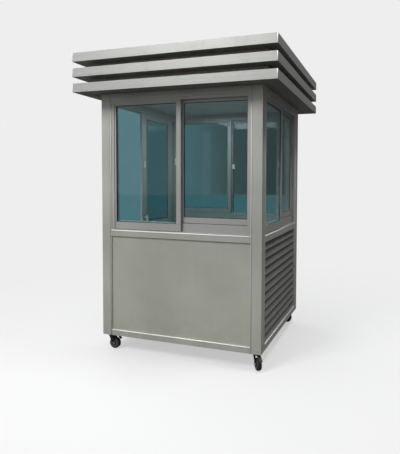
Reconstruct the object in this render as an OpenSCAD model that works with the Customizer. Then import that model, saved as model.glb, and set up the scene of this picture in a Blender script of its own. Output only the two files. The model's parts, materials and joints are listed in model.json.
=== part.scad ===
// Security guard booth: a post-and-rail cabin on four swivel casters, glazed on every side,
// with a sliding door in the left wall and a flat roof behind three stacked fascia bands.
// Origin on the floor under the middle of the booth, +Z up, front wall towards -Y, right wall towards +X.

/* [Booth body] */
// Width across the corner posts, left to right
body_w = 1500; // [1300:10:2000]
// Depth across the corner posts, front to rear
body_d = 1260; // [1150:10:1800]
// Height from the underside of the base to the soffit
body_h = 2142; // [2050:1:2400]
// Side of each square corner post
post_w = 96; // [90:1:120]
// Radius of the round bead along the inner edges of the posts and the top edges of the lower rails
bead_r = 5; // [3:0.5:7]
// Height of the base rails
base_rail_h = 53; // [40:1:90]
// Depth of the base rails
base_rail_d = 60; // [50:1:90]
// Thickness of the floor panel
floor_t = 18; // [12:1:30]

/* [Lower walls] */
// Thickness of the flat and ribbed wall panels
panel_t = 50; // [40:1:60]
// How far the wall panels stand back from the face of the posts
panel_set = 10; // [5:1:20]
// Height of one rib of the side and rear cladding
rib_pitch = 70; // [50:1:110]
// Depth of the step under each rib
rib_step = 16; // [8:1:22]

/* [Rails] */
// Height of the top of the sill rail above the underside of the base
sill_top = 950; // [850:5:1100]
// Height of the sill rails
sill_rail_h = 55; // [40:1:80]
// Height of the head rails above the windows and the door
head_rail_h = 56; // [40:1:90]
// Depth of the sill and head rails
rail_d = 84; // [82:1:90]

/* [Windows] */
// Face width of the window and door jambs
jamb_w = 28; // [22:1:40]
// Face height of the head member of a window or door frame
frame_head = 25; // [20:1:40]
// Thickness of a sash
sash_t = 22; // [18:1:26]
// Running gap between a window sash and its track
sash_gap = 2; // [1:0.5:3]
// Width of the outer stiles of a sash
stile_w = 30; // [26:1:45]
// Width of the meeting stiles of a sash
meeting_w = 41; // [30:1:60]
// How far the outer sash passes the middle of the window
sash_pass = 26; // [10:1:40]
// Height of the bottom rail of the outer sash
outer_rail = 62; // [45:1:80]
// Height of the bottom rail of the inner sash
inner_rail = 46; // [35:1:70]
// Height of the top rails of the sashes
top_rail = 33; // [26:1:60]
// Height of the step from the outer track up to the inner track
track_step = 72; // [30:1:90]
// Thickness of the glass
glass_t = 5; // [4:1:8]
// How deep the glass sits in its groove
glass_bite = 8; // [5:1:10]
// Height of the middle of the window locks above the sill rail
lock_z = 601; // [400:5:700]

/* [Sliding door] */
// Width of the sliding leaf
leaf_w = 575; // [560:5:680]
// Distance from the closed position at which the leaf stands
door_open = 400; // [0:5:400]
// Gap round the sliding leaf
door_gap = 5; // [5:0.5:8]
// Width of the stiles of the sliding leaf
leaf_stile = 75; // [60:1:90]
// Width of the stiles of the fixed side panel
side_stile = 60; // [45:1:80]
// Height of the bottom rails of the leaf and the side panel
kick_rail = 110; // [80:1:150]
// Height of the middle of the pull handle above the underside of the base
handle_z = 930; // [850:10:1100]

/* [Roof] */
// How far the fascia stands out from the walls all round
overhang = 165; // [140:5:240]
// Height of one fascia band
band_h = 74; // [50:1:100]
// Open gap between two bands
band_gap = 55.5; // [30:0.5:80]
// Depth of a band from its face to the roof core
band_d = 105; // [80:5:115]
// Thickness of the soffit and ceiling panels
soffit_t = 12; // [9:1:20]
// Thickness of the roof deck
deck_t = 14; // [10:1:25]

/* [Casters] */
// Height from the floor to the underside of the base
caster_h = 138; // [128:1:150]
// Radius of a caster wheel
wheel_r = 50; // [40:1:52]
// Width of a caster wheel
wheel_w = 32; // [24:1:38]
// Distance from the swivel axis to the wheel axle
trail = 32; // [28:1:40]
// Distance from the outer faces of a post to the swivel axis
caster_set = 55; // [50:1:80]

/* [Hidden] */
$fn = 48;
eps = 1;

// Heights above the floor
z_base = caster_h;
z_floor = z_base + base_rail_h;
z_sill = z_base + sill_top;
z_soffit = z_base + body_h;
soffit_lip = 6;
z_posts = z_soffit + soffit_lip;
z_head = z_posts - head_rail_h;
z_top = z_soffit + 3 * band_h + 2 * band_gap;
deck_drop = 10;
z_deck = z_top - deck_drop - deck_t;

// Plan sizes
bay_w = body_w - 2 * post_w;
bay_d = body_d - 2 * post_w;
roof_w = body_w + 2 * overhang;
roof_d = body_d + 2 * overhang;
core_w = roof_w - 2 * band_d;
core_d = roof_d - 2 * band_d;

// Rebate that leaves the bead standing free
rebate_w = 2 * bead_r + 3;
rebate_d = 4;

// Window frame, measured inwards from the face of the posts
frame_set = 6;
frame_lip = 4;
track_out = frame_set + frame_lip + sash_gap;
divider = 4;
track_in = track_out + sash_t + 2 * sash_gap + divider;
frame_back = track_in + sash_t + sash_gap + 10;
win_h = z_head - z_sill;
frame_base = 6;
rail_nib = 4;
pocket = 10;
pocket_jamb = 12;
sash_end = pocket_jamb + sash_gap;
sash_top = win_h - pocket - 2 * sash_gap;
outer_foot = frame_base + rail_nib;
inner_foot = frame_base + track_step + 6;
meet_x = sash_pass - meeting_w + 13;

// Rib of a ribbed panel: share of the pitch that its face takes, how it curves, and flats that make the curve
rib_face = 0.9;
rib_curve = 1.5;
rib_facets = 4;

// Door frame
door_h = z_head - z_floor;
threshold = 12;
leaf_y = track_out + sash_t + sash_gap + divider + door_gap;
door_back = leaf_y + sash_t + door_gap + 8;
leaf_foot = threshold + door_gap;
leaf_top = door_h - pocket - door_gap;
leaf_end = bay_d / 2 - pocket_jamb - door_gap;
leaf_x = leaf_end - leaf_w - door_open;
lock_rail_z = z_sill - sill_rail_h - z_floor;
lock_rail_h = 75;
side_top_rail = 50;
leaf_top_rail = 62;
door_panel_t = 12;
guide_w = 6;
guide_h = 12;

// Casters, and how far each one is turned on its swivel: front left, front right and both rear ones
turn_fl = 180;
turn_fr = 130;
turn_rear = 0;
plate_side = 80;
plate_t = 6;
race_t = 6;
race_r = 23;
pin_r = 7;
pin_gap = 0.05;
crown_t = 7;
crown_r = 30;
leg_t = 4;
leg_gap = 5;
axle_r = 5;
pedal_t = 3;
pedal_w = 26;
caster_x = body_w / 2 - caster_set;
caster_y = body_d / 2 - caster_set;
z_crown_top = caster_h - plate_t - race_t - 0.3;
z_crown = z_crown_top - crown_t;

// A block between two x, two y and two z values
module block(x0, x1, y0, y1, z0, z1) {
    translate([x0, y0, z0]) cube([x1 - x0, y1 - y0, z1 - z0]);
}

// Places a wall drawn along x, with y running inwards from the face of the posts
module on_front() {
    translate([0, -body_d / 2, 0]) children();
}
module on_right() {
    translate([body_w / 2, 0, 0]) rotate([0, 0, 90]) children();
}
module on_rear() {
    translate([0, body_d / 2, 0]) rotate([0, 0, 180]) children();
}
module on_left() {
    translate([-body_w / 2, 0, 0]) rotate([0, 0, -90]) children();
}

// Plan of a post, its outer corner at the origin and its body towards +x and +y
module post_plan() {
    difference() {
        square(post_w);
        translate([post_w - rebate_w, -eps]) square([rebate_w + eps, rebate_d + eps]);
        translate([-eps, post_w - rebate_w]) square([rebate_d + eps, rebate_w + eps]);
    }
    translate([post_w - bead_r, bead_r]) circle(bead_r);
    translate([bead_r, post_w - bead_r]) circle(bead_r);
}

module post() {
    color("gainsboro") linear_extrude(z_posts - z_base) post_plan();
}
module corner_post(sx, sy) {
    mirror([sx, 0, 0]) mirror([0, sy, 0]) translate([-body_w / 2, -body_d / 2, z_base]) post();
}
module post_front_left() {
    corner_post(0, 0);
}
module post_front_right() {
    corner_post(1, 0);
}
module post_rear_left() {
    corner_post(0, 1);
}
module post_rear_right() {
    corner_post(1, 1);
}

// Section of a lower rail, its outer face towards -x and a bead along its top edge
module rail_section(d, h) {
    difference() {
        square([d, h]);
        translate([-eps, h - rebate_w]) square([rebate_d + eps, rebate_w + eps]);
    }
    translate([bead_r, h - bead_r]) circle(bead_r);
}
module rail(w, d, z0, z1) {
    translate([-w / 2, 0, z0]) rotate([90, 0, 90]) linear_extrude(w) rail_section(d, z1 - z0);
}

module base_rails() {
    color("silver") {
        on_front() rail(bay_w, base_rail_d, z_base, z_floor);
        on_rear() rail(bay_w, base_rail_d, z_base, z_floor);
        on_left() rail(bay_d, base_rail_d, z_base, z_floor);
        on_right() rail(bay_d, base_rail_d, z_base, z_floor);
    }
}

module floor_panel() {
    inner_w = body_w - 2 * base_rail_d;
    inner_d = body_d - 2 * base_rail_d;
    color("dimgray") difference() {
        block(-inner_w / 2, inner_w / 2, -inner_d / 2, inner_d / 2, z_floor - floor_t, z_floor);
        for (sx = [-1, 1], sy = [-1, 1])
            translate([sx * body_w / 2, sy * body_d / 2, z_floor])
                cube([2 * post_w, 2 * post_w, 4 * floor_t], center = true);
    }
}

module sill_rails() {
    color("gainsboro") {
        on_front() rail(bay_w, rail_d, z_sill - sill_rail_h, z_sill);
        on_right() rail(bay_d, rail_d, z_sill - sill_rail_h, z_sill);
        on_rear() rail(bay_w, rail_d, z_sill - sill_rail_h, z_sill);
    }
}

module head_rail(w) {
    block(-w / 2, w / 2, 0, rail_d, z_head, z_posts);
}
module head_rails() {
    color("gainsboro") {
        on_front() head_rail(bay_w);
        on_right() head_rail(bay_d);
        on_rear() head_rail(bay_w);
        on_left() head_rail(bay_d);
    }
}

module front_panel() {
    color("lightgray") on_front()
        block(-bay_w / 2, bay_w / 2, panel_set, panel_set + panel_t, z_floor, z_sill - sill_rail_h);
}

// Section of a ribbed panel: each rib curves out towards its foot and steps back under it
module ribbed_section() {
    h = z_sill - sill_rail_h - z_floor;
    count = round(h / rib_pitch);
    pitch = h / count;
    polygon(concat(
        [for (i = [0:count - 1], t = [0:1 / rib_facets:1])
            [panel_set + rib_step * pow(t, rib_curve), (i + rib_face * t) * pitch]],
        [[panel_set + rib_step, h], [panel_set + panel_t, h], [panel_set + panel_t, 0]]));
}
module ribbed_panel(w) {
    translate([-w / 2, 0, z_floor]) rotate([90, 0, 90]) linear_extrude(w) ribbed_section();
}
module right_panel() {
    color("lightgray") on_right() ribbed_panel(bay_d);
}
module rear_panel() {
    color("lightgray") on_rear() ribbed_panel(bay_w);
}

// Window frame with an outer track low in front and an inner track on a step behind it
module window_frame(w) {
    color("silver") translate([0, 0, z_sill]) {
        difference() {
            block(-w / 2, w / 2, frame_set, frame_back, 0, win_h);
            block(-w / 2 + jamb_w, w / 2 - jamb_w, 0, frame_back + eps, frame_base, win_h - frame_head);
            block(-w / 2 + pocket_jamb, w / 2 - pocket_jamb, track_out - sash_gap,
                track_out + sash_t + sash_gap, frame_base, win_h - pocket);
            block(-w / 2 + pocket_jamb, w / 2 - pocket_jamb, track_in - sash_gap,
                track_in + sash_t + sash_gap, frame_base, win_h - pocket);
        }
        block(-w / 2 + pocket_jamb, w / 2 - pocket_jamb, track_in - sash_gap - divider, frame_back,
            0, frame_base + track_step);
        block(-w / 2 + pocket_jamb, w / 2 - pocket_jamb, track_out + sash_t / 2 - 2,
            track_out + sash_t / 2 + 2, 0, outer_foot);
        block(-w / 2 + pocket_jamb, w / 2 - pocket_jamb, track_in + sash_t / 2 - 2,
            track_in + sash_t / 2 + 2, frame_base + track_step - eps, inner_foot);
    }
}

// A glazed frame from x0 to x1 and z0 to z1 with a groove for its glass
module glazed_frame(x0, x1, y, z0, z1, left, right, bottom, top) {
    glass_y = y + (sash_t - glass_t) / 2;
    difference() {
        block(x0, x1, y, y + sash_t, z0, z1);
        block(x0 + left, x1 - right, y - eps, y + sash_t + eps, z0 + bottom, z1 - top);
        pane(x0 + left, x1 - right, glass_y, z0 + bottom, z1 - top);
    }
}
module pane(x0, x1, y, z0, z1) {
    block(x0 - glass_bite, x1 + glass_bite, y, y + glass_t, z0 - glass_bite, z1 + glass_bite);
}

module sashes(w) {
    color("gainsboro") translate([0, 0, z_sill]) {
        glazed_frame(-w / 2 + sash_end, sash_pass, track_out, outer_foot, sash_top,
            stile_w, meeting_w, outer_rail, top_rail);
        glazed_frame(meet_x, w / 2 - sash_end, track_in, inner_foot, sash_top,
            meeting_w, stile_w, inner_rail, top_rail);
    }
}
module panes(w) {
    glass_y = (sash_t - glass_t) / 2;
    color("lightblue") translate([0, 0, z_sill]) {
        pane(-w / 2 + sash_end + stile_w, sash_pass - meeting_w, track_out + glass_y,
            outer_foot + outer_rail, sash_top - top_rail);
        pane(meet_x + meeting_w, w / 2 - sash_end - stile_w, track_in + glass_y,
            inner_foot + inner_rail, sash_top - top_rail);
    }
}
module front_window_frame() {
    on_front() window_frame(bay_w);
}
module right_window_frame() {
    on_right() window_frame(bay_d);
}
module rear_window_frame() {
    on_rear() window_frame(bay_w);
}
module front_sashes() {
    on_front() sashes(bay_w);
}
module right_sashes() {
    on_right() sashes(bay_d);
}
module rear_sashes() {
    on_rear() sashes(bay_w);
}
module front_glass() {
    on_front() panes(bay_w);
}
module right_glass() {
    on_right() panes(bay_d);
}
module rear_glass() {
    on_rear() panes(bay_w);
}

// Two-lobed lock on the inner face of the meeting stile of an outer sash
module window_lock() {
    x_edge = sash_pass - meeting_w;
    y_face = track_out + sash_t;
    lobe_r = 13;
    translate([0, y_face, z_sill + lock_z]) rotate([-90, 0, 0]) linear_extrude(9) {
        for (s = [-1, 1])
            translate([x_edge - 12, s * 15]) circle(lobe_r);
        translate([x_edge - 14, -10]) square([20, 20]);
        translate([x_edge - 2, -26]) square([10, 52]);
    }
}
module window_locks() {
    color("white") {
        on_front() window_lock();
        on_right() window_lock();
        on_rear() window_lock();
    }
}

// Door frame across the left wall: fixed side light in the outer track, sliding leaf in the inner one
module door_frame() {
    w = bay_d;
    color("silver") on_left() translate([0, 0, z_floor]) {
        difference() {
            block(-w / 2, w / 2, frame_set, door_back, 0, door_h);
            block(-w / 2 + jamb_w, w / 2 - jamb_w, 0, door_back + eps, threshold, door_h - frame_head);
            block(-w / 2 + pocket_jamb, w / 2 - pocket_jamb, track_out - sash_gap,
                track_out + sash_t + sash_gap, threshold, door_h - pocket);
            block(-w / 2 + pocket_jamb, w / 2 - pocket_jamb, leaf_y - door_gap,
                leaf_y + sash_t + door_gap, threshold, door_h - pocket);
        }
        block(-w / 2 + pocket_jamb, w / 2 - pocket_jamb, leaf_y + (sash_t - guide_w) / 2,
            leaf_y + (sash_t + guide_w) / 2, threshold - eps, threshold + guide_h);
    }
}

side_x0 = -bay_d / 2 + sash_end;
side_x1 = side_stile / 2;

// Upper glazed opening and lower panel opening of a door-height frame
module door_height_frame(x0, x1, y, z0, z1, stile, top) {
    mid_z1 = lock_rail_z + lock_rail_h;
    panel_y = y + (sash_t - door_panel_t) / 2;
    difference() {
        glazed_frame(x0, x1, y, z0, z1, stile, stile, mid_z1 - z0, top);
        block(x0 + stile, x1 - stile, y - eps, y + sash_t + eps, z0 + kick_rail, lock_rail_z);
        block(x0 + stile - glass_bite, x1 - stile + glass_bite, panel_y, panel_y + door_panel_t,
            z0 + kick_rail - glass_bite, lock_rail_z + glass_bite);
    }
}
module lower_panel(x0, x1, y, z0, stile) {
    panel_y = y + (sash_t - door_panel_t) / 2;
    block(x0 + stile - glass_bite, x1 - stile + glass_bite, panel_y, panel_y + door_panel_t,
        z0 + kick_rail - glass_bite, lock_rail_z + glass_bite);
}
module side_light_frame() {
    color("gainsboro") on_left() translate([0, 0, z_floor])
        door_height_frame(side_x0, side_x1, track_out, threshold, leaf_top, side_stile, side_top_rail);
}
module side_light_panel() {
    color("lightgray") on_left() translate([0, 0, z_floor])
        lower_panel(side_x0, side_x1, track_out, threshold, side_stile);
}
module side_light_glass() {
    color("lightblue") on_left() translate([0, 0, z_floor])
        pane(side_x0 + side_stile, side_x1 - side_stile, track_out + (sash_t - glass_t) / 2,
            lock_rail_z + lock_rail_h, leaf_top - side_top_rail);
}

module door_leaf() {
    color("gainsboro") on_left() translate([0, 0, z_floor]) difference() {
        door_height_frame(leaf_x, leaf_x + leaf_w, leaf_y, leaf_foot, leaf_top, leaf_stile, leaf_top_rail);
        block(leaf_x - eps, leaf_x + leaf_w + eps, leaf_y + (sash_t - guide_w) / 2 - door_gap,
            leaf_y + (sash_t + guide_w) / 2 + door_gap, leaf_foot - eps, threshold + guide_h + door_gap);
    }
}
module door_panel() {
    color("lightgray") on_left() translate([0, 0, z_floor])
        lower_panel(leaf_x, leaf_x + leaf_w, leaf_y, leaf_foot, leaf_stile);
}
module door_glass() {
    color("lightblue") on_left() translate([0, 0, z_floor])
        pane(leaf_x + leaf_stile, leaf_x + leaf_w - leaf_stile, leaf_y + (sash_t - glass_t) / 2,
            lock_rail_z + lock_rail_h, leaf_top - leaf_top_rail);
}

// Pull handle and lock on the inner face of the leading stile
module door_handle() {
    x_mid = leaf_x + leaf_w - leaf_stile / 2;
    y_face = leaf_y + sash_t;
    grip_l = 220;
    grip_r = 9;
    stand = 34;
    lock_set = jamb_w - pocket_jamb + 4;
    color("white") on_left() {
        translate([x_mid, y_face + stand, z_base + handle_z - grip_l / 2]) cylinder(h = grip_l, r = grip_r);
        for (s = [-1, 1])
            translate([x_mid, y_face, z_base + handle_z + s * (grip_l / 2 - 25)])
                rotate([-90, 0, 0]) cylinder(h = stand, r = 7);
        block(leaf_x + leaf_w - leaf_stile / 2 - 8, leaf_x + leaf_w - lock_set, y_face, y_face + 12,
            z_sill + lock_z - 28, z_sill + lock_z + 28);
    }
}

// A flat rectangular ring, w by d outside and iw by id inside
module ring(w, d, iw, id, h) {
    difference() {
        translate([-w / 2, -d / 2, 0]) cube([w, d, h]);
        translate([-iw / 2, -id / 2, -eps]) cube([iw, id, h + 2 * eps]);
    }
}
module soffit_board() {
    color("dimgray") translate([0, 0, z_posts]) ring(core_w, core_d, bay_w, bay_d, soffit_t);
}
module ceiling() {
    color("lightgray") block(-bay_w / 2, bay_w / 2, -bay_d / 2, bay_d / 2, z_posts, z_posts + soffit_t);
}
module roof_core() {
    z0 = z_posts + soffit_t;
    color("dimgray") translate([0, 0, z0]) ring(core_w, core_d, body_w, body_d, z_deck - z0);
}
module roof_deck() {
    color("silver") block(-core_w / 2, core_w / 2, -core_d / 2, core_d / 2, z_deck, z_deck + deck_t);
}
module fascia(level) {
    color("whitesmoke") translate([0, 0, z_soffit + level * (band_h + band_gap)])
        ring(roof_w, roof_d, core_w, core_d, band_h);
}
module fascia_lower() {
    fascia(0);
}
module fascia_middle() {
    fascia(1);
}
module fascia_upper() {
    fascia(2);
}

// Top plate with its raceway, kingpin and nut
module caster_plate() {
    z_race = caster_h - plate_t - race_t;
    translate([-plate_side / 2, -plate_side / 2, caster_h - plate_t]) cube([plate_side, plate_side, plate_t]);
    translate([0, 0, z_race]) cylinder(h = race_t + eps, r = race_r);
    translate([0, 0, z_crown - 5]) cylinder(h = z_race - z_crown + 5 + eps, r = pin_r);
    translate([0, 0, z_crown - 5]) cylinder(h = 4.7, r = 10);
}
module caster_plates() {
    color("silver") for (sx = [-1, 1], sy = [-1, 1])
        translate([sx * caster_x, sy * caster_y, 0]) caster_plate();
}

// Side view of one fork leg, in x and z
module leg_outline() {
    polygon([[-trail - 14, wheel_r - 2], [-trail + 14, wheel_r - 2], [22, z_crown_top], [-24, z_crown_top]]);
    translate([-trail, wheel_r]) circle(15);
}
// Side view of the brake pedal over the wheel, in x and z
module pedal_outline() {
    tip_x = -trail - wheel_r - 14;
    bend_x = -trail - wheel_r + 14;
    polygon([[-20, z_crown], [bend_x, z_crown], [tip_x, z_crown - 28], [tip_x, z_crown - 28 + pedal_t + 1],
        [bend_x, z_crown + pedal_t], [-20, z_crown + pedal_t]]);
}
module fork(brake) {
    leg_y = wheel_w / 2 + leg_gap;
    color("silver") difference() {
        union() {
            if (brake)
                translate([0, pedal_w / 2, 0]) rotate([90, 0, 0]) linear_extrude(pedal_w) pedal_outline();
            translate([0, 0, z_crown]) cylinder(h = crown_t, r = crown_r);
            for (y = [-leg_y - leg_t, leg_y])
                translate([0, y + leg_t, 0]) rotate([90, 0, 0]) linear_extrude(leg_t) leg_outline();
            translate([-24, -leg_y - leg_t, z_crown]) cube([46, 2 * (leg_y + leg_t), crown_t]);
            translate([-trail, leg_y + leg_t + 4, wheel_r]) rotate([90, 0, 0])
                cylinder(h = 2 * (leg_y + leg_t + 4), r = axle_r);
        }
        translate([0, 0, z_crown - eps]) cylinder(h = crown_t + 2 * eps, r = pin_r + pin_gap);
    }
}
module wheel() {
    edge = 6;
    hub_w = wheel_w + 2 * (leg_gap - 1);
    translate([-trail, 0, wheel_r]) rotate([90, 0, 0]) color("black") rotate_extrude() difference() {
        union() {
            translate([0, -wheel_w / 2]) square([wheel_r - edge, wheel_w]);
            translate([0, -wheel_w / 2 + edge]) square([wheel_r, wheel_w - 2 * edge]);
            for (s = [-1, 1])
                translate([wheel_r - edge, s * (wheel_w / 2 - edge)]) circle(edge);
            translate([0, -hub_w / 2]) square([13, hub_w]);
        }
        translate([-wheel_r, -hub_w]) square([wheel_r + axle_r + pin_gap, 2 * hub_w]);
    }
}
module at_caster(sx, sy, turn) {
    translate([sx * caster_x, sy * caster_y, 0]) rotate([0, 0, turn]) children();
}
module fork_front_left() {
    at_caster(-1, -1, turn_fl) fork(true);
}
module fork_front_right() {
    at_caster(1, -1, turn_fr) fork(true);
}
module fork_rear_left() {
    at_caster(-1, 1, turn_rear) fork(false);
}
module fork_rear_right() {
    at_caster(1, 1, turn_rear) fork(false);
}
module wheel_front_left() {
    at_caster(-1, -1, turn_fl) wheel();
}
module wheel_front_right() {
    at_caster(1, -1, turn_fr) wheel();
}
module wheel_rear_left() {
    at_caster(-1, 1, turn_rear) wheel();
}
module wheel_rear_right() {
    at_caster(1, 1, turn_rear) wheel();
}

post_front_left();
post_front_right();
post_rear_left();
post_rear_right();
base_rails();
floor_panel();
sill_rails();
head_rails();
front_panel();
right_panel();
rear_panel();
front_window_frame();
front_sashes();
front_glass();
right_window_frame();
right_sashes();
right_glass();
rear_window_frame();
rear_sashes();
rear_glass();
window_locks();
door_frame();
side_light_frame();
side_light_panel();
side_light_glass();
door_leaf();
door_panel();
door_glass();
door_handle();
soffit_board();
ceiling();
roof_core();
roof_deck();
fascia_lower();
fascia_middle();
fascia_upper();
caster_plates();
fork_front_left();
fork_front_right();
fork_rear_left();
fork_rear_right();
wheel_front_left();
wheel_front_right();
wheel_rear_left();
wheel_rear_right();
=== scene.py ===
"""Looks of the security guard booth: materials, small hardware, light and camera."""

import json
import math

import bmesh
import bpy
from mathutils import Matrix, Vector


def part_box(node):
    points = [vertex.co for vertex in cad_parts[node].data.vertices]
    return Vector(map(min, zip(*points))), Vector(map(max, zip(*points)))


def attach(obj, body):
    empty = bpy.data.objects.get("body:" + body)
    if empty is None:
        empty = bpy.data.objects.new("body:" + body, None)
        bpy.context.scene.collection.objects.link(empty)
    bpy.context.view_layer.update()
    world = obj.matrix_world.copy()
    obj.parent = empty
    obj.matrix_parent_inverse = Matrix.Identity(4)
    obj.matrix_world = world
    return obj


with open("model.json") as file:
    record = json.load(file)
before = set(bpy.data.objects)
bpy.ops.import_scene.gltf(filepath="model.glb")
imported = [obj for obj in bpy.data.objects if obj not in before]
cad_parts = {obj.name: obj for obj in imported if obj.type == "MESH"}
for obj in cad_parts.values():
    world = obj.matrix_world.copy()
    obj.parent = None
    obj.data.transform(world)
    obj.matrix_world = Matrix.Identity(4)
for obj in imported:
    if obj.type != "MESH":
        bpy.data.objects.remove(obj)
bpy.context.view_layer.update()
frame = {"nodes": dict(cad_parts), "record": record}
NODES = frame["nodes"]

CORNERS = ("front_left", "front_right", "rear_left", "rear_right")
WALLS = ("front", "right", "rear")


def srgb(r, g, b):
    """A colour given as 0-255 screen values, as linear light."""
    return tuple((c / 255 / 12.92) if c <= 10 else ((c / 255 + 0.055) / 1.055) ** 2.4 for c in (r, g, b))


# ---------------------------------------------------------------- materials
class Graph:
    """A material's node tree, with short calls for the nodes used here."""

    def __init__(self, name):
        self.mat = bpy.data.materials.new(name)
        self.mat.use_nodes = True
        self.tree = self.mat.node_tree
        self.bsdf = self.tree.nodes["Principled BSDF"]
        self.out = self.tree.nodes["Material Output"]
        self.place = self.add("ShaderNodeTexCoord").outputs["Object"]

    def add(self, kind, **settings):
        """A new node with its settings."""
        node = self.tree.nodes.new(kind)
        for key, value in settings.items():
            setattr(node, key, value)
        return node

    def put(self, socket, value):
        """Links a socket to another one, or sets its number or colour."""
        if hasattr(value, "is_output"):
            self.tree.links.new(value, socket)
        elif isinstance(value, tuple) and len(value) == 3 and socket.type == "RGBA":
            socket.default_value = (*value, 1)
        else:
            socket.default_value = value

    def math(self, op, a, b=0.0, clamp=False):
        """One sum on two numbers or sockets."""
        node = self.add("ShaderNodeMath", operation=op, use_clamp=clamp)
        self.put(node.inputs[0], a)
        self.put(node.inputs[1], b)
        return node.outputs[0]

    def noise(self, scale, detail=3.0, rough=0.55, stretch=(1, 1, 1), shift=0.0):
        """Noise in object space. Each shift gives a pattern of its own."""
        place = self.add("ShaderNodeMapping")
        self.put(place.inputs["Vector"], self.place)
        place.inputs["Scale"].default_value = stretch
        place.inputs["Location"].default_value = (shift, shift * 0.7, shift * 1.3)
        node = self.add("ShaderNodeTexNoise")
        self.put(node.inputs["Vector"], place.outputs[0])
        node.inputs["Scale"].default_value = scale
        node.inputs["Detail"].default_value = detail
        node.inputs["Roughness"].default_value = rough
        return node.outputs["Fac"]

    def span(self, value, a, b, lo=0.0, hi=1.0):
        """A soft step from lo to hi while value goes from a to b."""
        node = self.add("ShaderNodeMapRange", interpolation_type="SMOOTHSTEP")
        for i, v in enumerate((value, a, b, lo, hi)):
            self.put(node.inputs[i], v)
        return node.outputs[0]

    def mix(self, fac, a, b):
        """Colour a turning into b as fac goes from 0 to 1."""
        node = self.add("ShaderNodeMix", data_type="RGBA")
        self.put(node.inputs["Factor"], fac)
        self.put(node.inputs["A"], a)
        self.put(node.inputs["B"], b)
        return node.outputs["Result"]

    def height(self):
        """Height above the floor, in metres."""
        node = self.add("ShaderNodeSeparateXYZ")
        self.put(node.inputs[0], self.place)
        return node.outputs[2]

    def facing_up(self):
        """The z of the face's own direction: 1 on a floor, 0 on a wall and -1 on a ceiling."""
        node = self.add("ShaderNodeSeparateXYZ")
        self.put(node.inputs[0], self.add("ShaderNodeNewGeometry").outputs["Normal"])
        return node.outputs[2]

    def rounded(self, radius):
        """The surface direction with its sharp edges eased by radius."""
        node = self.add("ShaderNodeBevel", samples=4)
        node.inputs["Radius"].default_value = radius
        return node.outputs[0]

    def bump(self, value, distance, normal=None, strength=1.0):
        """The surface direction, tilted by value as a height of up to distance."""
        node = self.add("ShaderNodeBump")
        self.put(node.inputs["Height"], value)
        node.inputs["Distance"].default_value = distance
        node.inputs["Strength"].default_value = strength
        if normal is not None:
            self.put(node.inputs["Normal"], normal)
        return node.outputs[0]

    def edge(self, rounded):
        """Near 1 on the sharp edges of a piece, where paint wears."""
        flat = self.add("ShaderNodeNewGeometry").outputs["Normal"]
        dot = self.add("ShaderNodeVectorMath", operation="DOT_PRODUCT")
        self.put(dot.inputs[0], rounded)
        self.put(dot.inputs[1], flat)
        return self.span(self.math("SUBTRACT", 1.0, dot.outputs["Value"]), 0.02, 0.2)

    def finish(self, colour, rough, normal, metallic=0.0, coat=0.0):
        """Sets the main shader and returns the material."""
        self.put(self.bsdf.inputs["Base Color"], colour)
        self.put(self.bsdf.inputs["Roughness"], rough)
        self.put(self.bsdf.inputs["Normal"], normal)
        self.bsdf.inputs["Metallic"].default_value = metallic
        self.bsdf.inputs["Coat Weight"].default_value = coat
        self.bsdf.inputs["Coat Roughness"].default_value = 0.25
        return self.mat


DUST = srgb(150, 138, 116)
# A dark brown, used for real grime on plastic and for painted shade in the ribs' recesses.
GRIME_AND_SHADE = srgb(62, 57, 50)
PAINT_EDGE = 0.0016
METAL_EDGE = 0.001
MOULDED_EDGE = 0.0012


def shade(colour, share):
    """A colour times share, no channel over 1."""
    return tuple(min(1, c * share) for c in colour)


def paint(name, base, rough=0.4, sheet=0.0, worn=srgb(196, 194, 186), dust=0.35, wear=0.5, recess_shade=0.0):
    """Powder coat on steel: orange peel, slow tone changes, rain streaks, low dust and worn edges.

    The lodged argument sets how strongly faces that lean upwards, such as the top of each rib, are darkened:
    painted shade for the recess under the rib above.
    """
    g = Graph(name)
    slow = g.noise(1.3, 3, 0.5)
    patch = g.noise(6.0, 5, 0.6, shift=3.1)
    streak = g.noise(1.0, 4, 0.6, stretch=(38, 38, 1.1), shift=5.0)
    peel = g.noise(520, 2, 0.5)
    soft = g.rounded(PAINT_EDGE)
    edge = g.edge(soft)
    warm = (base[0] * 1.03, base[1], base[2] * 0.93)
    colour = g.mix(g.span(slow, 0.3, 0.7), shade(base, 0.86), shade(base, 1.09))
    colour = g.mix(g.span(patch, 0.45, 0.75, 0, 0.28), colour, warm)
    colour = g.mix(g.span(streak, 0.54, 0.8, 0, 0.3), colour, shade(base, 0.7))
    low = g.span(g.height(), 0.62, 0.1)
    dirty = g.math("MULTIPLY", low, g.span(g.noise(9, 6, 0.7, shift=8.0), 0.35, 0.75), clamp=True)
    colour = g.mix(g.math("MULTIPLY", dirty, dust), colour, DUST)
    # Upward-leaning faces, such as the top of each rib, are darkened here: painted shade for the recess under
    # the rib above.
    if recess_shade:
        leaning = g.span(g.facing_up(), 0.14, 0.33)
        uneven = g.span(g.noise(26, 4, 0.6, stretch=(1, 1, 3), shift=6.0), 0.2, 0.7, 0.75, 1.0)
        colour = g.mix(g.math("MULTIPLY", g.math("MULTIPLY", leaning, uneven), recess_shade), colour, GRIME_AND_SHADE)
    chips = g.math("MULTIPLY", edge, g.span(g.noise(70, 4, 0.7, shift=2.0), 0.42, 0.62), clamp=True)
    colour = g.mix(g.math("MULTIPLY", chips, wear), colour, worn)
    shine = g.math("ADD", g.span(patch, 0.3, 0.7, rough - 0.05, rough + 0.07), g.math("MULTIPLY", dirty, 0.2))
    normal = g.bump(peel, 0.00009, soft, 0.6)
    if sheet:
        normal = g.bump(g.noise(2.2, 2, 0.4, shift=1.0), sheet, normal, 0.5)
    return g.finish(colour, shine, normal, coat=0.15)


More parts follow.
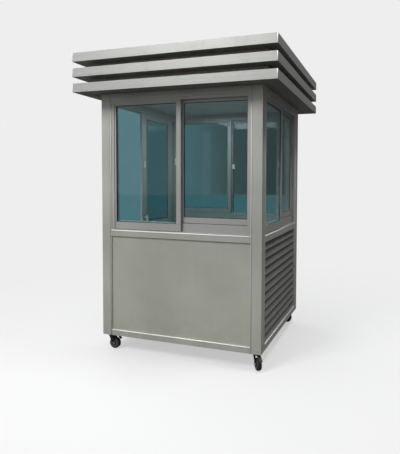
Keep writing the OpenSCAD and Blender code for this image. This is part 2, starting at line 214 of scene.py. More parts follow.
def bare_metal(name, base, rough, metallic, grain, worn=0.25, grime=0.3, speckle=0.0, under=None):
    """Brushed, rolled or plated metal: fine lines, cloudy roughness, grime and rubbed edges.

    under is a darker colour put on faces that point down: painted shade on the undersides.
    """
    g = Graph(name)
    lines = g.noise(1.0, 3, 0.6, stretch=grain)
    cloud = g.noise(7.0, 5, 0.6, shift=4.0)
    soft = g.rounded(METAL_EDGE)
    colour = g.mix(g.span(lines, 0.3, 0.7), shade(base, 0.9), shade(base, 1.07))
    colour = g.mix(g.span(cloud, 0.48, 0.78, 0, grime), colour, shade(base, 0.6))
    if speckle:
        specks = g.noise(340, 2, 0.6, shift=6.0)
        colour = g.mix(g.span(specks, 0.5, 0.72, 0, speckle), colour, shade(base, 0.72))
    colour = g.mix(g.math("MULTIPLY", g.edge(soft), worn), colour, shade(base, 1.35))
    # Faces that point down turn to the under colour: painted shade.
    if under:
        colour = g.mix(g.span(g.facing_up(), -0.6, -0.95), colour, under)
    brushed = g.span(lines, 0.25, 0.75, rough - 0.06, rough + 0.08)
    shine = g.math("ADD", brushed, g.span(cloud, 0.4, 0.8, 0, 0.12))
    return g.finish(colour, shine, g.bump(lines, 0.00005, soft, 0.5), metallic)


def plastic(name, base, rough):
    """Moulded plastic with a fine grain and some grime."""
    g = Graph(name)
    cloud = g.noise(16, 5, 0.6)
    soft = g.rounded(MOULDED_EDGE)
    colour = g.mix(g.span(cloud, 0.3, 0.72), base, shade(base, 0.88))
    colour = g.mix(g.span(g.noise(60, 5, 0.7, shift=2.0), 0.55, 0.8, 0, 0.25), colour, GRIME_AND_SHADE)
    shine = g.span(cloud, 0.3, 0.7, rough - 0.06, rough + 0.1)
    return g.finish(colour, shine, g.bump(g.noise(700, 2, 0.5), 0.00006, soft, 0.6))


def rubber(name, base, rough):
    """Rubber with pale bloom on it."""
    g = Graph(name)
    cloud = g.noise(22, 6, 0.65)
    colour = g.mix(g.span(cloud, 0.4, 0.75, 0, 0.55), base, tuple(c * 2.6 + 0.006 for c in base))
    shine = g.span(cloud, 0.3, 0.7, rough - 0.08, rough + 0.15)
    return g.finish(colour, shine, g.bump(g.noise(420, 3, 0.6), 0.00012, g.rounded(METAL_EDGE), 0.7))


def tinted_glass(name, tint, let_in):
    """Body-tinted float glass under a film of dust. Lamps shine in through it in the colour let_in."""
    g = Graph(name)
    film = g.noise(5.0, 6, 0.65)
    spots = g.noise(150, 2, 0.5, shift=4.0)
    g.put(g.bsdf.inputs["Base Color"], g.mix(g.span(film, 0.35, 0.75, 0, 0.4), tint, shade(tint, 0.86)))
    g.put(g.bsdf.inputs["Roughness"], g.span(film, 0.45, 0.8, 0.02, 0.07))
    g.bsdf.inputs["IOR"].default_value = 1.5
    g.bsdf.inputs["Transmission Weight"].default_value = 1.0
    g.put(g.bsdf.inputs["Normal"], g.bump(spots, 0.00001, None, 0.15))
    clear = g.add("ShaderNodeBsdfTransparent")
    g.put(clear.inputs["Color"], let_in)
    path = g.add("ShaderNodeLightPath")
    both = g.add("ShaderNodeMixShader")
    g.put(both.inputs[0], path.outputs["Is Shadow Ray"])
    g.put(both.inputs[1], g.bsdf.outputs[0])
    g.put(both.inputs[2], clear.outputs[0])
    g.put(g.out.inputs["Surface"], both.outputs[0])
    return g.mat


MATS = {
    "frame": paint("frame_powder_coat", srgb(173, 174, 167), 0.36, wear=0.55),
    "panel": paint("panel_sheet", srgb(173, 175, 164), 0.42, sheet=0.0012, wear=0.2),
    # The ribbed sheet is set darker than the panel paint, partly as painted shade for the shaded ribbed
    # sides, and the top of each rib is darkened as painted shade.
    "ribs": paint("ribbed_sheet", srgb(145, 145, 143), 0.4, wear=0.3, recess_shade=0.8),
    "sash": paint("sash_profile", srgb(165, 164, 163), 0.36, wear=0.4, dust=0.2),
    "rail": paint("track_profile", srgb(168, 167, 165), 0.34, wear=0.4, dust=0.2),
    # The fascia's darker undersides are painted shade.
    "fascia": bare_metal("brushed_fascia", srgb(172, 172, 169), 0.46, 0.5, (2.2, 2.2, 380),
                         worn=0.15, grime=0.16, speckle=0.3, under=srgb(124, 118, 113)),
    # bead and post_bead are one bead finish in two brightnesses: the near-white bead is a painted highlight
    # for the light the beads catch from the sky, and post_bead is a dimmer copy for the posts, where the
    # beads catch less light.
    "bead": paint("bead_painted_highlight", srgb(244, 244, 239), 0.2, wear=0.2, dust=0.1),
    "post_bead": paint("post_bead", srgb(198, 198, 192), 0.28, wear=0.2, dust=0.1),
    "dark": paint("roof_dark_coating", srgb(128, 122, 117), 0.5, worn=srgb(110, 104, 98),
                  dust=0.0, wear=0.35),
    "soffit": paint("soffit_board", srgb(96, 91, 88), 0.5, dust=0.0, wear=0.1),
    "deck": paint("roof_deck_sheet", srgb(122, 122, 120), 0.5, sheet=0.002, wear=0.2, dust=0.0),
    "ceiling": paint("ceiling_sheet", srgb(214, 214, 214), 0.45, wear=0.1, dust=0.0),
    "tread": bare_metal("floor_tread", srgb(150, 149, 147), 0.42, 1.0, (30, 30, 30), worn=0.5, grime=0.55),
    "zinc": bare_metal("zinc_plate", srgb(152, 150, 146), 0.36, 1.0, (60, 60, 60), worn=0.4, grime=0.5),
    "fork": bare_metal("blackened_zinc", srgb(62, 60, 58), 0.42, 0.9, (60, 60, 60), worn=0.6, grime=0.4),
    "steel": bare_metal("bright_steel", srgb(190, 189, 186), 0.28, 1.0, (40, 40, 40), grime=0.35),
    "white": plastic("white_plastic", srgb(226, 226, 220), 0.32),
    "grey": plastic("grey_plastic", srgb(78, 78, 77), 0.5),
    "rubber": rubber("black_rubber", srgb(30, 29, 28), 0.62),
    "seal": rubber("glazing_seal", srgb(24, 24, 24), 0.55),
    "pile": rubber("pile_seal", srgb(52, 50, 48), 0.85),
    "glass": tinted_glass("tinted_glass", (0.50, 0.68, 0.70), (0.86, 0.92, 0.92)),
}

NODE_MATERIAL = {
    "base_rails": "frame", "sill_rails": "frame", "head_rails": "frame", "floor_panel": "tread",
    "front_panel": "panel", "right_panel": "ribs", "rear_panel": "ribs", "window_locks": "white",
    "door_frame": "rail",
    "side_light_frame": "sash", "side_light_panel": "panel", "side_light_glass": "glass",
    "door_leaf": "sash", "door_panel": "panel", "door_glass": "glass", "door_handle": "white",
    "soffit_board": "soffit", "ceiling": "ceiling", "roof_core": "dark", "roof_deck": "deck",
    "fascia_lower": "fascia", "fascia_middle": "fascia", "fascia_upper": "fascia", "caster_plates": "zinc",
}
for corner in CORNERS:
    NODE_MATERIAL["post_" + corner] = "frame"
    NODE_MATERIAL["fork_" + corner] = "fork"
    NODE_MATERIAL["wheel_" + corner] = "rubber"
for wall in WALLS:
    NODE_MATERIAL[wall + "_window_frame"] = "rail"
    NODE_MATERIAL[wall + "_sashes"] = "sash"
    NODE_MATERIAL[wall + "_glass"] = "glass"
for node, key in NODE_MATERIAL.items():
    mesh = NODES[node].data
    mesh.materials.clear()
    mesh.materials.append(MATS[key])


# ---------------------------------------------------------------- geometry helpers
def box(bm, lo, hi, m=Matrix()):
    """A closed box between two corners, placed by m."""
    xs, ys, zs = zip(lo, hi)
    v = [bm.verts.new(m @ Vector((x, y, z))) for z in zs for y in ys for x in xs]
    for f in ((0, 2, 3, 1), (4, 5, 7, 6), (0, 1, 5, 4), (2, 6, 7, 3), (0, 4, 6, 2), (1, 3, 7, 5)):
        bm.faces.new([v[i] for i in f])


def lathe(bm, profile, m=Matrix(), sides=32):
    """Turns (radius, height) points round z, closed at both ends."""
    rings = []
    for r, h in profile:
        rings.append([bm.verts.new(m @ Vector((r * math.cos(t), r * math.sin(t), h)))
                      for t in (2 * math.pi * i / sides for i in range(sides))])
    for a, b in zip(rings, rings[1:]):
        for i in range(sides):
            j = (i + 1) % sides
            bm.faces.new((a[i], a[j], b[j], b[i]))
    bm.faces.new(rings[0][::-1])
    bm.faces.new(rings[-1])


def prism(bm, outline, depth, m=Matrix()):
    """An outline in x and y, drawn anticlockwise, pushed up by depth."""
    low = [bm.verts.new(m @ Vector((x, y, 0))) for x, y in outline]
    top = [bm.verts.new(m @ Vector((x, y, depth))) for x, y in outline]
    bm.faces.new(low[::-1])
    bm.faces.new(top)
    n = len(outline)
    for i in range(n):
        bm.faces.new((low[i], low[(i + 1) % n], top[(i + 1) % n], top[i]))


def piece(name, body, key, build, bevel=0.0, segments=2, smooth=False):
    """A Blender piece made by build(bm), riding on a body."""
    bm = bmesh.new()
    build(bm)
    bmesh.ops.recalc_face_normals(bm, faces=bm.faces)
    mesh = bpy.data.meshes.new(name)
    bm.to_mesh(mesh)
    bm.free()
    mesh.materials.append(MATS[key])
    obj = bpy.data.objects.new(name, mesh)
    bpy.context.scene.collection.objects.link(obj)
    if bevel:
        mod = obj.modifiers.new("edges", "BEVEL")
        mod.width, mod.segments, mod.limit_method = bevel, segments, "ANGLE"
        mod.angle_limit = math.radians(35)
    if smooth:
        mesh.shade_smooth()
    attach(obj, body)
    return obj


def turned(origin, direction):
    """Places z of a part along direction, at origin."""
    return Matrix.Translation(origin) @ Vector(direction).to_track_quat("Z", "Y").to_matrix().to_4x4()


def screw(bm, at, out, r=0.004, h=0.0022):
    """A pan-head screw whose crown stands out along out, with a cross recess."""
    m = turned(at, out)
    lathe(bm, [(r, 0), (r, h * 0.45), (r * 0.8, h * 0.85), (r * 0.42, h)], m, 16)
    box(bm, (-r * 0.5, -r * 0.09, h * 0.98), (r * 0.5, r * 0.09, h * 1.06), m)
    box(bm, (-r * 0.09, -r * 0.5, h * 0.98), (r * 0.09, r * 0.5, h * 1.06), m)


def hex_bolt(bm, at, out, r, h):
    """A washer, a hexagonal head standing out along out, and the end of its thread."""
    m = turned(at, out)
    lathe(bm, [(r * 1.35, 0), (r * 1.35, 0.0012)], m, 24)
    prism(bm, [(r * math.cos(math.pi / 3 * i), r * math.sin(math.pi / 3 * i)) for i in range(6)], h, m)
    lathe(bm, [(r * 0.5, h), (r * 0.5, h + 0.002)], m, 12)


def thin_axis(lo, hi):
    """The axis, 0 or 1, across which an upright box is thinner."""
    return 0 if (hi - lo)[0] < (hi - lo)[1] else 1


def islands(node):
    """The boxes of the separate solids of a node."""
    mesh = NODES[node].data
    parent = {}

    def find(a):
        while parent[a] != a:
            parent[a] = parent[parent[a]]
            a = parent[a]
        return a

    key = [tuple(round(c, 5) for c in v.co) for v in mesh.vertices]
    for k in key:
        parent[k] = k
    for e in mesh.edges:
        a, b = find(key[e.vertices[0]]), find(key[e.vertices[1]])
        parent[a] = b
    groups = {}
    for k in set(key):
        groups.setdefault(find(k), []).append(k)
    boxes = []
    for pts in groups.values():
        lo = Vector([min(p[i] for p in pts) for i in range(3)])
        hi = Vector([max(p[i] for p in pts) for i in range(3)])
        boxes.append((lo, hi))
    return sorted(boxes, key=lambda b: tuple(b[0]))


# ---------------------------------------------------------------- glazing seals
# How far a frame covers the edge of its pane, and a seal's width, its depth and its gap to the glass.
BITE = 0.008
SEAL_W = 0.0045
SEAL_D = 0.003
SEAL_PLAY = 0.00005


def ring(bm, lo, hi, thin, width, t0, t1):
    """A flat rectangular ring across axis thin: width wide inside lo and hi, and t0 to t1 deep."""
    u = 1 - thin
    for side in (0, 1):
        a, b = lo.copy(), hi.copy()
        a[thin], b[thin] = t0, t1
        if side:
            a[2] = hi[2] - width
        else:
            b[2] = lo[2] + width
        box(bm, a, b)
        a, b = lo.copy(), hi.copy()
        a[thin], b[thin] = t0, t1
        a[2], b[2] = lo[2] + width, hi[2] - width
        if side:
            a[u] = hi[u] - width
        else:
            b[u] = lo[u] + width
        box(bm, a, b)


def glazing(glass, body):
    """Black seals against both faces of every pane of a node."""
    panes = islands(glass)
    thin = thin_axis(*panes[0])

    def seals(bm):
        for lo, hi in panes:
            a, b = lo.copy(), hi.copy()
            for i in (1 - thin, 2):
                a[i] += BITE
                b[i] -= BITE
            ring(bm, a, b, thin, SEAL_W, lo[thin] - SEAL_D, lo[thin] - SEAL_PLAY)
            ring(bm, a, b, thin, SEAL_W, hi[thin] + SEAL_PLAY, hi[thin] + SEAL_D)

    piece(glass + "_seals", body, "seal", seals, 0.0008)


for wall in WALLS:
    glazing(wall + "_glass", "booth")
glazing("side_light_glass", "booth")
glazing("door_glass", "door")

# ---------------------------------------------------------------- beads along the frame
# The bead of part.scad, how far the strip over it stands proud, and how short it stops of a post's ends.
BEAD_R = 0.005
TRIM = 0.0006
BEAD_END = 0.001


def rod(bm, a, b, r):
    """A round strip from a to b with eased ends."""
    a, b = Vector(a), Vector(b)
    ease, length = r * 0.2, (b - a).length
    lathe(bm, [(r - ease, 0), (r, ease), (r, length - ease), (r - ease, length)], turned(a, b - a), 16)


def rail_beads(bm, node):
    """A strip over the bead along the top outer edge of each rail of a node."""
    for lo, hi in islands(node):
        along = 0 if (hi - lo)[0] > (hi - lo)[1] else 1
        across = 1 - along
        face = hi[across] - BEAD_R if hi[across] > -lo[across] else lo[across] + BEAD_R
        a, b = lo.copy(), hi.copy()
        a[across] = b[across] = face
        a[2] = b[2] = hi[2] - BEAD_R
        rod(bm, a, b, BEAD_R + TRIM)


def post_beads(bm):
    """A strip over each of the two beads on the inner edges of a post."""
    for corner in CORNERS:
        lo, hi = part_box("post_" + corner)
        sx = 1 if lo[0] > 0 else -1
        sy = 1 if lo[1] > 0 else -1
        out_x, out_y = (hi[0] if sx > 0 else lo[0]), (hi[1] if sy > 0 else lo[1])
        in_x, in_y = (lo[0] if sx > 0 else hi[0]), (lo[1] if sy > 0 else hi[1])
        for x, y in ((in_x + sx * BEAD_R, out_y - sy * BEAD_R), (out_x - sx * BEAD_R, in_y + sy * BEAD_R)):
            rod(bm, (x, y, lo[2] + BEAD_END), (x, y, hi[2] - BEAD_END), BEAD_R + TRIM)


# The rail beads wear the near-white bead finish, a painted highlight; the post beads wear its dimmer copy.
piece("base_rail_beads", "booth", "bead", lambda bm: rail_beads(bm, "base_rails"), smooth=True)
piece("sill_rail_beads", "booth", "bead", lambda bm: rail_beads(bm, "sill_rails"), smooth=True)
piece("post_beads", "booth", "post_bead", post_beads, smooth=True)

# ---------------------------------------------------------------- fixings and seams on the walls
# A brush strip is PILE_HALF wide each way, PILE_GAP off both stiles and PILE_END short of their ends.
PANEL_SCREW_SET = 0.018
PANEL_SCREW_STEP = 0.26
PANEL_SCREW_R, PANEL_SCREW_H = 0.0036, 0.0016
SASH_SCREW_R, SASH_SCREW_H = 0.003, 0.0013
JOINT_W, JOINT_H, JOINT_IN = 0.0007, 0.00025, 0.001
PILE_HALF, PILE_GAP, PILE_END = 0.0025, 0.0003, 0.01


def spread(lo, hi, step):
    """Even places from lo to hi, about step apart."""
    n = max(1, round((hi - lo) / step))
    return [lo + (hi - lo) * i / n for i in range(n + 1)]


def panel_screws(bm):
    """Screws all round the edge of the front panel."""
    lo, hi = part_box("front_panel")
    inset = PANEL_SCREW_SET
    for x in spread(lo[0] + inset, hi[0] - inset, PANEL_SCREW_STEP):
        for z in (lo[2] + inset, hi[2] - inset):
            screw(bm, (x, lo[1], z), (0, -1, 0), PANEL_SCREW_R, PANEL_SCREW_H)
    for z in spread(lo[2] + inset, hi[2] - inset, PANEL_SCREW_STEP)[1:-1]:
        for x in (lo[0] + inset, hi[0] - inset):
            screw(bm, (x, lo[1], z), (0, -1, 0), PANEL_SCREW_R, PANEL_SCREW_H)


piece("front_panel_screws", "booth", "steel", panel_screws)


NEAR = 0.001


def pane_faces(frame_node, glass_node):
    """For each pane: its frame's box, the sight opening, the axis across it and the outward sign."""
    for glass_lo, glass_hi in islands(glass_node):
        mid = (glass_lo + glass_hi) / 2
        frames = [(lo, hi) for lo, hi in islands(frame_node)
                  if all(lo[i] - NEAR <= mid[i] <= hi[i] + NEAR for i in range(3))]
        thin = thin_axis(glass_lo, glass_hi)
        a, b = glass_lo.copy(), glass_hi.copy()
        for i in (1 - thin, 2):
            a[i] += BITE
            b[i] -= BITE
        yield frames[0], (a, b), thin, (1 if mid[thin] > 0 else -1)


def sash_joints(frame_node, glass_node):
    """Builders of the hairline joints where the rails of a sash meet its stiles, and of a screw by each."""
    def joints(bm):
        for (lo, hi), (a, b), thin, _ in pane_faces(frame_node, glass_node):
            u = 1 - thin
            for face, way in ((hi[thin], 1), (lo[thin], -1)):
                for z in (a[2], b[2]):
                    for near, far in ((lo[u], a[u]), (b[u], hi[u])):
                        p, q = Vector(), Vector()
                        p[u], q[u] = near + JOINT_IN, far
                        p[2], q[2] = z - JOINT_W / 2, z + JOINT_W / 2
                        p[thin], q[thin] = sorted((face, face + way * JOINT_H))
                        box(bm, p, q)

    def heads(bm):
        for (lo, hi), (a, b), thin, out in pane_faces(frame_node, glass_node):
            u = 1 - thin
            face = hi[thin] if out < 0 else lo[thin]
            for x in ((lo[u] + a[u]) / 2, (b[u] + hi[u]) / 2):
                for z in ((lo[2] + a[2]) / 2, (b[2] + hi[2]) / 2):
                    at, way = Vector(), Vector()
                    at[u], at[2], at[thin] = x, z, face
                    way[thin] = -out
                    screw(bm, at, way, SASH_SCREW_R, SASH_SCREW_H)

    return joints, heads


FRAMED = [(wall + "_sashes", wall + "_glass", "booth") for wall in WALLS]
FRAMED += [("side_light_frame", "side_light_glass", "booth"), ("door_leaf", "door_glass", "door")]
for frame_node, glass_node, body in FRAMED:
    joints, heads = sash_joints(frame_node, glass_node)
    piece(frame_node + "_joints", body, "seal", joints)
    piece(frame_node + "_screws", body, "steel", heads)


def sash_piles(bm):
    """Two brush strips between the meeting stiles of each pair of sashes."""
    for wall in WALLS:
        (lo_a, hi_a), (lo_b, hi_b) = islands(wall + "_sashes")
        thin = thin_axis(lo_a, hi_a)
        u = 1 - thin
        gap = sorted((lo_a[thin], hi_a[thin], lo_b[thin], hi_b[thin]))[1:3]
        overlap = (max(lo_a[u], lo_b[u]), min(hi_a[u], hi_b[u]))
        for share in (0.3, 0.7):
            at = overlap[0] + (overlap[1] - overlap[0]) * share
            p, q = Vector(), Vector()
            p[u], q[u] = at - PILE_HALF, at + PILE_HALF
            p[thin], q[thin] = gap[0] + PILE_GAP, gap[1] - PILE_GAP
            p[2], q[2] = max(lo_a[2], lo_b[2]) + PILE_END, min(hi_a[2], hi_b[2]) - PILE_END
            box(bm, p, q)


piece("sash_pile_seals", "booth", "pile", sash_piles, 0.001)


# ---------------------------------------------------------------- door furniture
# The recessed pull: how far above the foot of the handle its middle is, half its outline, its rim,
# and how far the rim and the cup stand out and reach in.
PULL_RISE = 0.11
PULL_Y, PULL_Z = 0.015, 0.06
PULL_RIM = 0.004
RIM_OUT, CUP_OUT, PULL_IN = 0.0022, 0.0006, 0.0002
CUP_EASE = 0.0038
LOCK_DROP = 0.02
KEY_HALF, KEY_THIN = 0.0045, 0.0007
ROSE = ((0.0125, 0), (0.0125, 0.0012), (0.0112, 0.0022), (0.0072, 0.0024), (0.0068, 0.0034))


def leading_stile():
    """x of the door's outer face, y of the middle of its handle and z of the handle's foot."""
    handle_lo, handle_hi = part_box("door_handle")
    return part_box("door_leaf")[0][0], (handle_lo[1] + handle_hi[1]) / 2, handle_lo[2]


def flush_pull(bm):
    """Rim of the recessed pull on the outer face of the leading stile."""
    face, y, z = leading_stile()
    z += PULL_RISE
    lo, hi = Vector((0, y - PULL_Y, z - PULL_Z)), Vector((0, y + PULL_Y, z + PULL_Z))
    ring(bm, lo, hi, 0, PULL_RIM, face - RIM_OUT, face + PULL_IN)


def pull_cup(bm):
    """The floor of the pull, inside its rim."""
    face, y, z = leading_stile()
    z += PULL_RISE
    half_y, half_z = PULL_Y - CUP_EASE, PULL_Z - CUP_EASE
    box(bm, (face - CUP_OUT, y - half_y, z - half_z), (face + PULL_IN, y + half_y, z + half_z))


def door_lock(bm):
    """Round rose and key cylinder below the pull."""
    face, y, z = leading_stile()
    m = turned((face, y, z - LOCK_DROP), (-1, 0, 0))
    lathe(bm, ROSE, m, 32)
    top = ROSE[-1][1]
    box(bm, (-KEY_HALF, -KEY_THIN, top), (KEY_HALF, KEY_THIN, top + 0.0003), m)


piece("door_flush_pull", "door", "steel", flush_pull, 0.0012)
piece("door_pull_cup", "door", "grey", pull_cup, 0.0003)
piece("door_lock_cylinder", "door", "steel", door_lock)


# ---------------------------------------------------------------- ceiling, floor and roof sheets
PLANKS = 10
PLANK_EASE = 0.001
PLANK_GROOVE = 0.0012
PLANK_D = 0.006
TRIM_W, TRIM_FOOT = 0.022, 0.014
TREAD_STEP = 0.034
TREAD_EDGE = 0.055
TREAD_LONG, TREAD_WIDE, TREAD_HIGH = 0.0125, 0.0036, 0.0011
LAP_HALF, LAP_END, LAP_H = 0.018, 0.012, 0.0018
DECK_SCREW_END, DECK_SCREW_STEP = 0.06, 0.2
DECK_SCREW_HEAD = (0.004, 0.003)
SEALANT_W, SEALANT_H = 0.009, 0.005
CORNER_R, CORNER_END = 0.0045, 0.0005


def border(bm, x0, y0, x1, y1, width, low, high):
    """Four level strips round the inside of a rectangle."""
    for a, b in (((x0, y0), (x1, y0 + width)), ((x0, y1 - width), (x1, y1)),
                 ((x0, y0 + width), (x0 + width, y1 - width)), ((x1 - width, y0 + width), (x1, y1 - width))):
        box(bm, (*a, low), (*b, high))


def ceiling_planks(bm):
    """Planks side by side under the ceiling, with a groove between them."""
    lo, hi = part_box("ceiling")
    x0, x1 = lo[0] + PLANK_EASE, hi[0] - PLANK_EASE
    step = (hi[1] - lo[1] - 2 * PLANK_EASE) / PLANKS
    for i in range(PLANKS):
        y = lo[1] + PLANK_EASE + i * step
        box(bm, (x0, y + PLANK_GROOVE, lo[2] - PLANK_D), (x1, y + step - PLANK_GROOVE, lo[2] - 0.0001))


def ceiling_trim(bm):
    """The strip that covers the planks' ends."""
    lo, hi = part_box("ceiling")
    x0, y0, x1, y1 = lo[0] + PLANK_EASE, lo[1] + PLANK_EASE, hi[0] - PLANK_EASE, hi[1] - PLANK_EASE
    border(bm, x0, y0, x1, y1, TRIM_W, lo[2] - TRIM_FOOT, lo[2] - PLANK_D)


def tread_plate(bm):
    """Raised lozenges of tread plate, turned one way and then the other."""
    lo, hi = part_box("floor_panel")
    nx, ny = (int((hi[i] - lo[i] - 2 * TREAD_EDGE) / TREAD_STEP) for i in (0, 1))
    end, side, shoulder = TREAD_LONG, TREAD_WIDE, TREAD_LONG * 0.45
    outline = [(end, 0), (shoulder, side), (-shoulder, side),
               (-end, 0), (-shoulder, -side), (shoulder, -side)]
    for i in range(nx + 1):
        for j in range(ny + 1):
            x, y = lo[0] + TREAD_EDGE + i * TREAD_STEP, lo[1] + TREAD_EDGE + j * TREAD_STEP
            turn = Matrix.Rotation(math.pi / 4 if (i + j) % 2 else -math.pi / 4, 4, "Z")
            prism(bm, outline, TREAD_HIGH, Matrix.Translation((x, y, hi[2])) @ turn)


def deck_laps(bm):
    """Two lapped seams across the roof deck."""
    lo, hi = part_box("roof_deck")
    for x in (lo[0] / 3, hi[0] / 3):
        box(bm, (x - LAP_HALF, lo[1] + LAP_END, hi[2]), (x + LAP_HALF, hi[1] - LAP_END, hi[2] + LAP_H))


def deck_screws(bm):
    """Hex screws along both laps."""
    lo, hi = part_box("roof_deck")
    for x in (lo[0] / 3, hi[0] / 3):
        for y in spread(lo[1] + DECK_SCREW_END, hi[1] - DECK_SCREW_END, DECK_SCREW_STEP):
            hex_bolt(bm, (x, y, hi[2] + LAP_H), (0, 0, 1), *DECK_SCREW_HEAD)


def deck_sealant(bm):
    """A bead of sealant where the deck meets the upper fascia."""
    lo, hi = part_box("roof_deck")
    border(bm, lo[0], lo[1], hi[0], hi[1], SEALANT_W, hi[2], hi[2] + SEALANT_H)


def fascia_corners(bm):
    """Rounded corner strips on the fascia bands."""
    for level in ("lower", "middle", "upper"):
        lo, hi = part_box("fascia_" + level)
        inset = CORNER_R * 0.7
        for x in (lo[0] + inset, hi[0] - inset):
            for y in (lo[1] + inset, hi[1] - inset):
                rod(bm, (x, y, lo[2] + CORNER_END), (x, y, hi[2] - CORNER_END), CORNER_R)


piece("ceiling_planks", "booth", "ceiling", ceiling_planks, 0.0022)
piece("ceiling_trim", "booth", "ceiling", ceiling_trim, 0.002)
piece("floor_tread", "booth", "tread", tread_plate)
piece("roof_deck_laps", "booth", "deck", deck_laps, 0.0006)
piece("roof_deck_screws", "booth", "zinc", deck_screws)
piece("roof_deck_sealant", "booth", "grey", deck_sealant, 0.003, 3)
# The fascia corner strips wear the near-white bead finish, a painted highlight along the corners.
piece("fascia_corners", "booth", "bead", fascia_corners, smooth=True)


# ---------------------------------------------------------------- caster hardware
# How far the bolts stand from the middle of a plate, the plate's thickness, and how far the outer
# faces of a fork's legs are from the middle of the wheel. Heads and nuts are radius and height, and a
# hub plate's outline is radius and distance out.
PLATE_BOLT, PLATE_T = 0.030, 0.006
LEG_FACE = 0.025
PLATE_BOLT_HEAD = (0.005, 0.0032)
AXLE_NUT = (0.008, 0.0034)
HUB_DISH = ((0.037, 0.0150), (0.037, 0.0164), (0.0345, 0.0174), (0.031, 0.0167), (0.021, 0.0167))


def plate_bolts(bm):
    """Four bolts hold each caster plate to the base, their heads below it."""
    for lo, hi in islands("caster_plates"):
        if hi[0] - lo[0] < 2 * PLATE_BOLT:
            continue
        x, y = (lo[0] + hi[0]) / 2, (lo[1] + hi[1]) / 2
        for dx in (-PLATE_BOLT, PLATE_BOLT):
            for dy in (-PLATE_BOLT, PLATE_BOLT):
                hex_bolt(bm, (x + dx, y + dy, hi[2] - PLATE_T), (0, 0, -1), *PLATE_BOLT_HEAD)


piece("caster_plate_bolts", "booth", "steel", plate_bolts)
for joint in frame["record"]["behaviour"]["joints"]:
    if not joint["name"].startswith("roll_"):
        continue
    corner = joint["name"][len("roll_"):]
    hub, axle = Vector(joint["pos_m"]), Vector(joint["axis"]).normalized()

    def axle_nuts(bm):
        """A nut at each end of the axle."""
        for way in (-1, 1):
            hex_bolt(bm, hub + axle * way * LEG_FACE, axle * way, *AXLE_NUT)

    def hub_discs(bm):
        """Dished hub plates that close the sides of the tyre."""
        for way in (-1, 1):
            lathe(bm, HUB_DISH, turned(hub, axle * way), 40)

    piece("axle_nuts_" + corner, "swivel_" + corner, "steel", axle_nuts)
    piece("hub_discs_" + corner, "roller_" + corner, "grey", hub_discs)

# ---------------------------------------------------------------- stage
# Brightness of the surround. Seen through glass it is THROUGH towards the left and THROUGH_SIDE
# towards the right, turning while x of the direction looked in passes TURN. The floor close by is
# THROUGH_LOW, and far off it is THROUGH whichever way one looks.
BACK = 0.855
TURN = (-0.50, -0.34)
THROUGH = (0.145, 0.262, 0.288)
THROUGH_SIDE = (0.055, 0.090, 0.088)
THROUGH_LOW = (0.105, 0.150, 0.152)
# The brightest side of the sky, how nearly a direction points there, and its strength there and opposite.
SKY_SIDE = (-0.5, -0.68, 0.54)
SKY_REACH = (-0.75, 0.95)
SKY_STRENGTH = (0.07, 0.62)
FLOOR_R = 40


def ray_kinds(add, link):
    """Two sockets: 1 for what the camera sees straight, and 1 for what it sees through glass."""
    path = add("ShaderNodeLightPath")
    first = add("ShaderNodeMath")
    first.operation = "LESS_THAN"
    first.inputs[1].default_value = 0.5
    link(path.outputs["Diffuse Depth"], first.inputs[0])
    through = add("ShaderNodeMath")
    through.operation = "MULTIPLY"
    link(path.outputs["Is Transmission Ray"], through.inputs[0])
    link(first.outputs[0], through.inputs[1])
    return path.outputs["Is Camera Ray"], through.outputs[0]


def floor_material():
    """Pale floor that melts into the surround, is darker through glass and throws little light back."""
    g = Graph("studio_floor")
    g.finish((0.80, 0.80, 0.80), 0.85, g.bump(g.noise(30, 3), 0.0004, None, 0.3))
    g.put(g.bsdf.inputs["Base Color"], g.mix(g.noise(0.7, 3), (0.79, 0.79, 0.79), (0.82, 0.82, 0.82)))
    straight, through = ray_kinds(g.tree.nodes.new, g.tree.links.new)
    length = g.add("ShaderNodeVectorMath", operation="LENGTH")
    g.put(length.inputs[0], g.place)

    def glow(colour):
        """An even light of one colour."""
        node = g.add("ShaderNodeEmission")
        g.put(node.inputs["Color"], colour)
        return node.outputs[0]

    def pick(share, a, b):
        """Shader a turning into b as share goes from 0 to 1."""
        node = g.add("ShaderNodeMixShader")
        for i, value in enumerate((share, a, b)):
            g.put(node.inputs[i], value)
        return node.outputs[0]

    dim = g.add("ShaderNodeBsdfDiffuse")
    dim.inputs["Color"].default_value = (0.16, 0.16, 0.155, 1)
    away = length.outputs["Value"]
    seen = pick(g.span(away, 0.8, 4.0, 0.6, 1.0), g.bsdf.outputs[0], glow((BACK, BACK, BACK)))
    far = pick(g.span(away, 2.0, 14.0), glow(THROUGH_LOW), glow(THROUGH))
    g.put(g.out.inputs["Surface"], pick(straight, pick(through, dim.outputs[0], far), seen))
    return g.mat


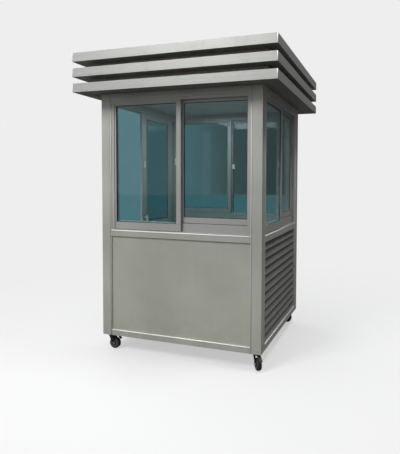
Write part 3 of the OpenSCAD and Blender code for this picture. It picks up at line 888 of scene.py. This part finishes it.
def surround():
    """Even pale surround for the camera, a dimmer one through glass, and a soft sky for the light."""
    world = bpy.data.worlds.new("studio")
    bpy.context.scene.world = world
    world.use_nodes = True
    t = world.node_tree
    t.nodes.clear()
    straight, through = ray_kinds(t.nodes.new, t.links.new)

    def background(colour):
        """An even background of one colour."""
        node = t.nodes.new("ShaderNodeBackground")
        node.inputs["Color"].default_value = (*colour, 1)
        return node

    def pick(share, a, b):
        """Background a turning into b as share goes from 0 to 1."""
        node = t.nodes.new("ShaderNodeMixShader")
        for i, value in enumerate((share, a, b)):
            t.links.new(value, node.inputs[i])
        return node.outputs[0]

    def soft_step(value, a, b, lo, hi):
        """A soft step from lo to hi while value goes from a to b."""
        node = t.nodes.new("ShaderNodeMapRange")
        node.interpolation_type = "SMOOTHSTEP"
        for i, v in enumerate((a, b, lo, hi), 1):
            node.inputs[i].default_value = v
        t.links.new(value, node.inputs[0])
        return node.outputs[0]

    light = background((0.97, 0.985, 1.0))
    where = t.nodes.new("ShaderNodeTexCoord")
    toward = t.nodes.new("ShaderNodeVectorMath")
    toward.operation = "DOT_PRODUCT"
    toward.inputs[1].default_value = Vector(SKY_SIDE).normalized()
    t.links.new(where.outputs["Generated"], toward.inputs[0])
    sky = soft_step(toward.outputs["Value"], *SKY_REACH, *SKY_STRENGTH)
    t.links.new(sky, light.inputs["Strength"])
    axes = t.nodes.new("ShaderNodeSeparateXYZ")
    t.links.new(where.outputs["Generated"], axes.inputs[0])
    side = soft_step(axes.outputs[0], *TURN, 0.0, 1.0)
    beyond = pick(side, background(THROUGH).outputs[0], background(THROUGH_SIDE).outputs[0])
    dimmer = pick(through, light.outputs[0], beyond)
    out = t.nodes.new("ShaderNodeOutputWorld")
    t.links.new(pick(straight, dimmer, background((BACK, BACK, BACK)).outputs[0]), out.inputs[0])


def stage():
    """The floor and the surround."""
    bpy.ops.mesh.primitive_circle_add(vertices=96, radius=FLOOR_R, fill_type="NGON")
    floor = bpy.context.object
    floor.name = "studio_floor"
    floor.data.materials.append(floor_material())
    surround()


def lamp(name, at, aim, size, power):
    """A square white lamp that neither the camera nor glass shows directly."""
    data = bpy.data.lights.new(name, "AREA")
    data.shape = "SQUARE"
    data.size = size
    data.energy = power
    obj = bpy.data.objects.new(name, data)
    obj.location = at
    obj.rotation_mode = "QUATERNION"
    obj.rotation_quaternion = (Vector(at) - Vector(aim)).to_track_quat("Z", "Y")
    obj.visible_camera = obj.visible_transmission = False
    bpy.context.scene.collection.objects.link(obj)


stage()
lamp("key", (-2.4, -4.9, 6.4), (0, 0, 1.2), 2.6, 365)
lamp("top", (-0.5, 0.5, 7.0), (0, 0, 1.0), 4.0, 120)
lamp("rear_left", (-5.5, 4.0, 4.5), (0, 0, 1.2), 4.0, 110)
lamp("right_high", (2.7, -0.5, 7.2), (0.75, 0, 0.6), 1.0, 190)
lamp("cabin", (0, 0, 2.24), (0, 0, 1.0), 0.7, 8)

# ---------------------------------------------------------------- camera
EYE = Vector((1.7114, -3.6615, 1.5332))
YAW, PITCH, ROLL = (math.radians(a) for a in (16.7507, 2.1534, 0.4452))
SENSOR = 36
LENS = 32.04479
SHIFT_X, SHIFT_Y = -0.15, -0.0681914


def photo_camera():
    """The camera fitted to the photograph's corners, turned left by YAW and down by PITCH."""
    ahead = Vector((-math.sin(YAW) * math.cos(PITCH), math.cos(YAW) * math.cos(PITCH), -math.sin(PITCH)))
    level = Vector((math.cos(YAW), math.sin(YAW), 0))
    upright = level.cross(ahead)
    right = level * math.cos(ROLL) + upright * math.sin(ROLL)
    up = upright * math.cos(ROLL) - level * math.sin(ROLL)
    data = bpy.data.cameras.new("camera")
    data.sensor_width = SENSOR
    data.lens = LENS
    data.shift_x = SHIFT_X
    data.shift_y = SHIFT_Y
    data.dof.use_dof = False
    camera = bpy.data.objects.new("camera", data)
    camera.matrix_world = Matrix((
        (right.x, up.x, -ahead.x, EYE.x),
        (right.y, up.y, -ahead.y, EYE.y),
        (right.z, up.z, -ahead.z, EYE.z),
        (0, 0, 0, 1),
    ))
    bpy.context.scene.collection.objects.link(camera)
    return camera


bpy.context.scene.camera = photo_camera()
bpy.context.scene.view_settings.view_transform = "Standard"
